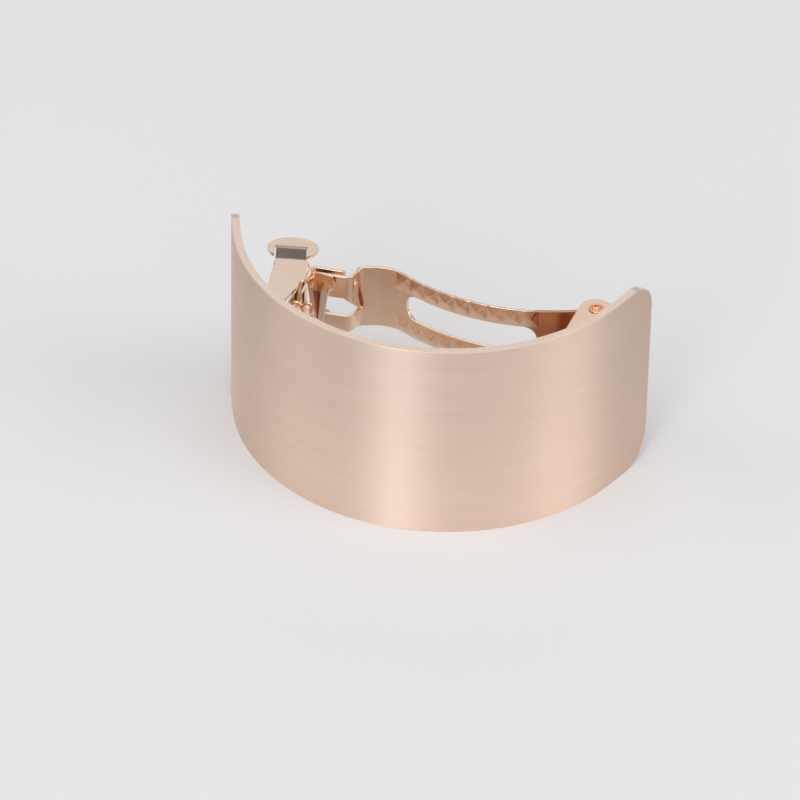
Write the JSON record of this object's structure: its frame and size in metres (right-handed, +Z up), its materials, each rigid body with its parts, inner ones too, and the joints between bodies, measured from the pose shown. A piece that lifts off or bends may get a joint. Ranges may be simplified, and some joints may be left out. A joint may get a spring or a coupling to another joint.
{
  "type": "hair clip",
  "caption": "Curved sheet-metal barrette plate that stands on its long edge, with a bowed spring clasp across its open back.",
  "frame": {"origin": "centre of the bounding box's bottom, on the surface that the plate's long edge stands on", "axes": "+X from the catch end to the hinge end, +Y from the plate's outer apex to the clasp, +Z up along the plate's width"},
  "size_m": [0.0692, 0.0368, 0.035],
  "materials": {
    "brushed_plate": "rose-gold plate, brushed along its length",
    "polished_clasp": "rose-gold plate, polished",
    "copper_rivet": "copper-toned plate, polished"
  },
  "bodies": {
    "clip_body": {"curved_plate": "brushed_plate", "base_bar": "polished_clasp", "catch_spring": "polished_clasp", "hinge_pin": "copper_rivet"},
    "arm": {"clasp_arm": "polished_clasp"}
  },
  "joints": [
    {"name": "arm_hinge", "type": "hinge", "parent": "clip_body", "child": "arm", "pos_m": [0.02485, 0.01562, 0.0175], "axis": [0, 0, -1], "range_deg": [0, 100]}
  ]
}
